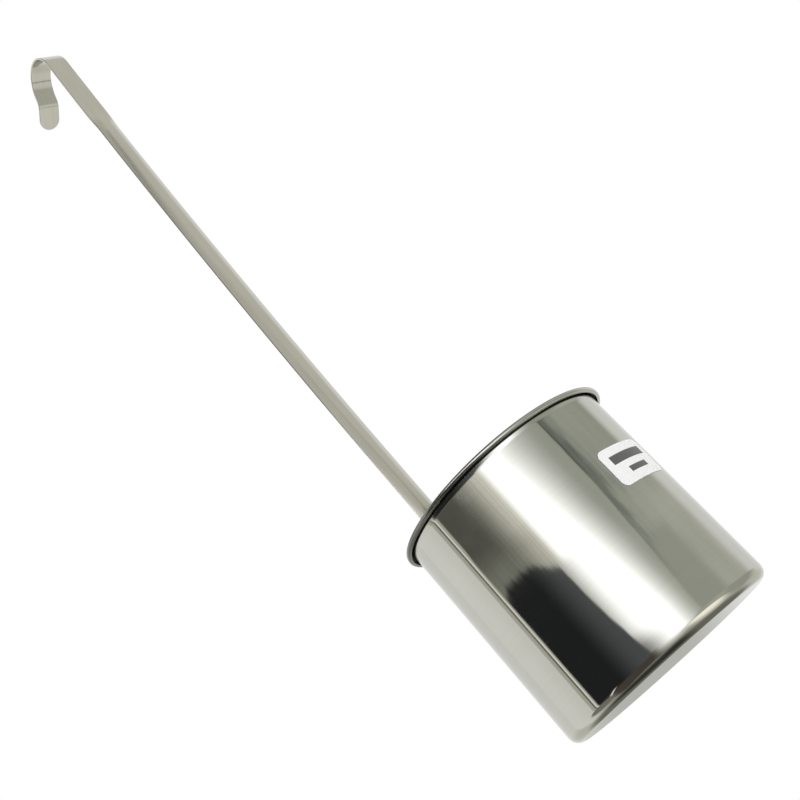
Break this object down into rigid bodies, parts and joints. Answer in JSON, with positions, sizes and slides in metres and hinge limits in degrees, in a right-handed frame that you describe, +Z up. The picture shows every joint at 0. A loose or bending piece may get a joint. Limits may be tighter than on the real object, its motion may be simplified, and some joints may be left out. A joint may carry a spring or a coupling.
{
  "type": "wine dipper",
  "caption": "Stainless steel wine dipper: a straight-sided drawn cup with a curled rim and a long strip handle that ends in a hanging hook.",
  "frame": {"origin": "centre of the flat bottom of the cup", "axes": "+Z up along the cup's axis to the mouth and the hook, +Y toward the handle, X across the handle strip"},
  "size_m": [0.0934, 0.1228, 0.4262],
  "materials": {
    "cup": "polished stainless steel with fine draw lines",
    "handle": "satin stainless steel",
    "weld": "dull spot weld",
    "label": "plain white coated paper"
  },
  "bodies": {
    "root": {"cup": "cup", "handle": "handle", "spot_weld_lower": "weld", "spot_weld_middle": "weld", "spot_weld_upper": "weld", "label": "label"}
  },
  "joints": []
}
